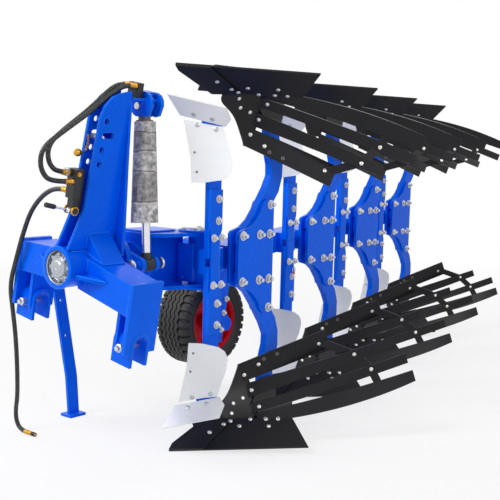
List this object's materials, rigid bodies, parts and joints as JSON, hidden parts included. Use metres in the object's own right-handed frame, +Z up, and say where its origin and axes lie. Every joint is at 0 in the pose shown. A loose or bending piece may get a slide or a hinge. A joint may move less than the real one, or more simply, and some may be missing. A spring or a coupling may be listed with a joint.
{
  "type": "reversible mouldboard plough",
  "caption": "Mounted reversible plough: slatted mouldboard bodies with skimmers above and below a stepped beam, turned over by a cylinder on a three-point headstock.",
  "frame": {"origin": "centre of the plan on the floor, with the cords left out", "axes": "+Z up, travel towards -Y, +X the plough's left, to which the lower bodies turn the soil"},
  "size_m": [1.9509, 4.6811, 1.78],
  "materials": {
    "blue_paint": "gloss",
    "black_steel": "satin",
    "bare_steel": "satin",
    "zinc": "satin",
    "chrome_rod": "polished",
    "barrel_paint": "gloss",
    "packing": "matt",
    "hose_rubber": "satin",
    "brass_fitting": "satin",
    "red_rim": "gloss",
    "tyre": "matt"
  },
  "bodies": {
    "headstock": {"turnover_tube": "blue_paint", "cross_beam": "blue_paint", "hitch_brackets": "blue_paint", "lock_pins": "zinc", "mast_plates": "blue_paint", "cylinder_fork": "blue_paint", "upper_pin": "zinc", "valve_block": "black_steel", "lock_lever": "zinc", "hose_manifold": "zinc", "hose_coupling": "brass_fitting", "hose_supply": "hose_rubber", "hose_return": "hose_rubber", "hose_tractor": "hose_rubber"},
    "cylinder": {"cylinder_barrel": "barrel_paint", "barrel_wrap": "packing"},
    "rod": {"cylinder_rod": "chrome_rod", "rod_eye": "black_steel"},
    "wheel_arm": {"wheel_arm": "blue_paint"},
    "depth_wheel": {"wheel_rim": "red_rim", "tyre": "tyre"},
    "stand_leg": {"stand_leg": "blue_paint"},
    "turning_frame": {"castle_nut": "zinc", "depth_strip": "blue_paint", "frogs": "black_steel", "leg_plates": "blue_paint", "legs": "blue_paint", "main_beam": "blue_paint", "points": "black_steel", "shares": "black_steel", "shins": "black_steel", "skimmer_boards": "bare_steel", "skimmer_shares": "bare_steel", "skimmer_stems": "blue_paint", "slats_1": "black_steel", "slats_2": "black_steel", "slats_3": "black_steel", "slats_4": "black_steel", "stand_carrier": "blue_paint", "stand_pin": "zinc", "stem_clamps": "blue_paint", "stem_mounts": "blue_paint", "swivel_bracket": "blue_paint", "swivel_frame": "blue_paint", "swivel_post": "zinc", "turning_head": "blue_paint", "turnover_shaft": "zinc", "wheel_bracket": "blue_paint"}
  },
  "joints": [
    {"name": "turnover", "type": "hinge", "parent": "headstock", "child": "turning_frame", "pos_m": [0.103, -1.747, 0.89], "axis": [0, -1, 0], "range_deg": [0, 160]},
    {"name": "cylinder_swing", "type": "hinge", "parent": "headstock", "child": "cylinder", "pos_m": [0.22455, -1.822, 1.57937], "axis": [0, -1, 0], "range_deg": [-25.03, 0.3]},
    {"name": "rod_stroke", "type": "slide", "parent": "cylinder", "child": "rod", "axis": [0.0412, 0, -0.9991], "range_m": [-0.14, 0]},
    {"name": "wheel_swing", "type": "hinge", "parent": "turning_frame", "child": "wheel_arm", "pos_m": [-0.139, -1.142, 0.89], "axis": [1, 0, 0], "range_deg": [0, 112.5]},
    {"name": "wheel_spin", "type": "hinge", "parent": "wheel_arm", "child": "depth_wheel", "pos_m": [-0.313, -0.847, 0.448], "axis": [1, 0, 0], "continuous": true},
    {"name": "stand_height", "type": "slide", "parent": "turning_frame", "child": "stand_leg", "axis": [0, -0.1803, 0.9836], "range_m": [0, 0.3]}
  ],
  "couplings": [
    {"joint": "cylinder_swing", "follows": "turnover", "ratio": -0.15454}
  ]
}
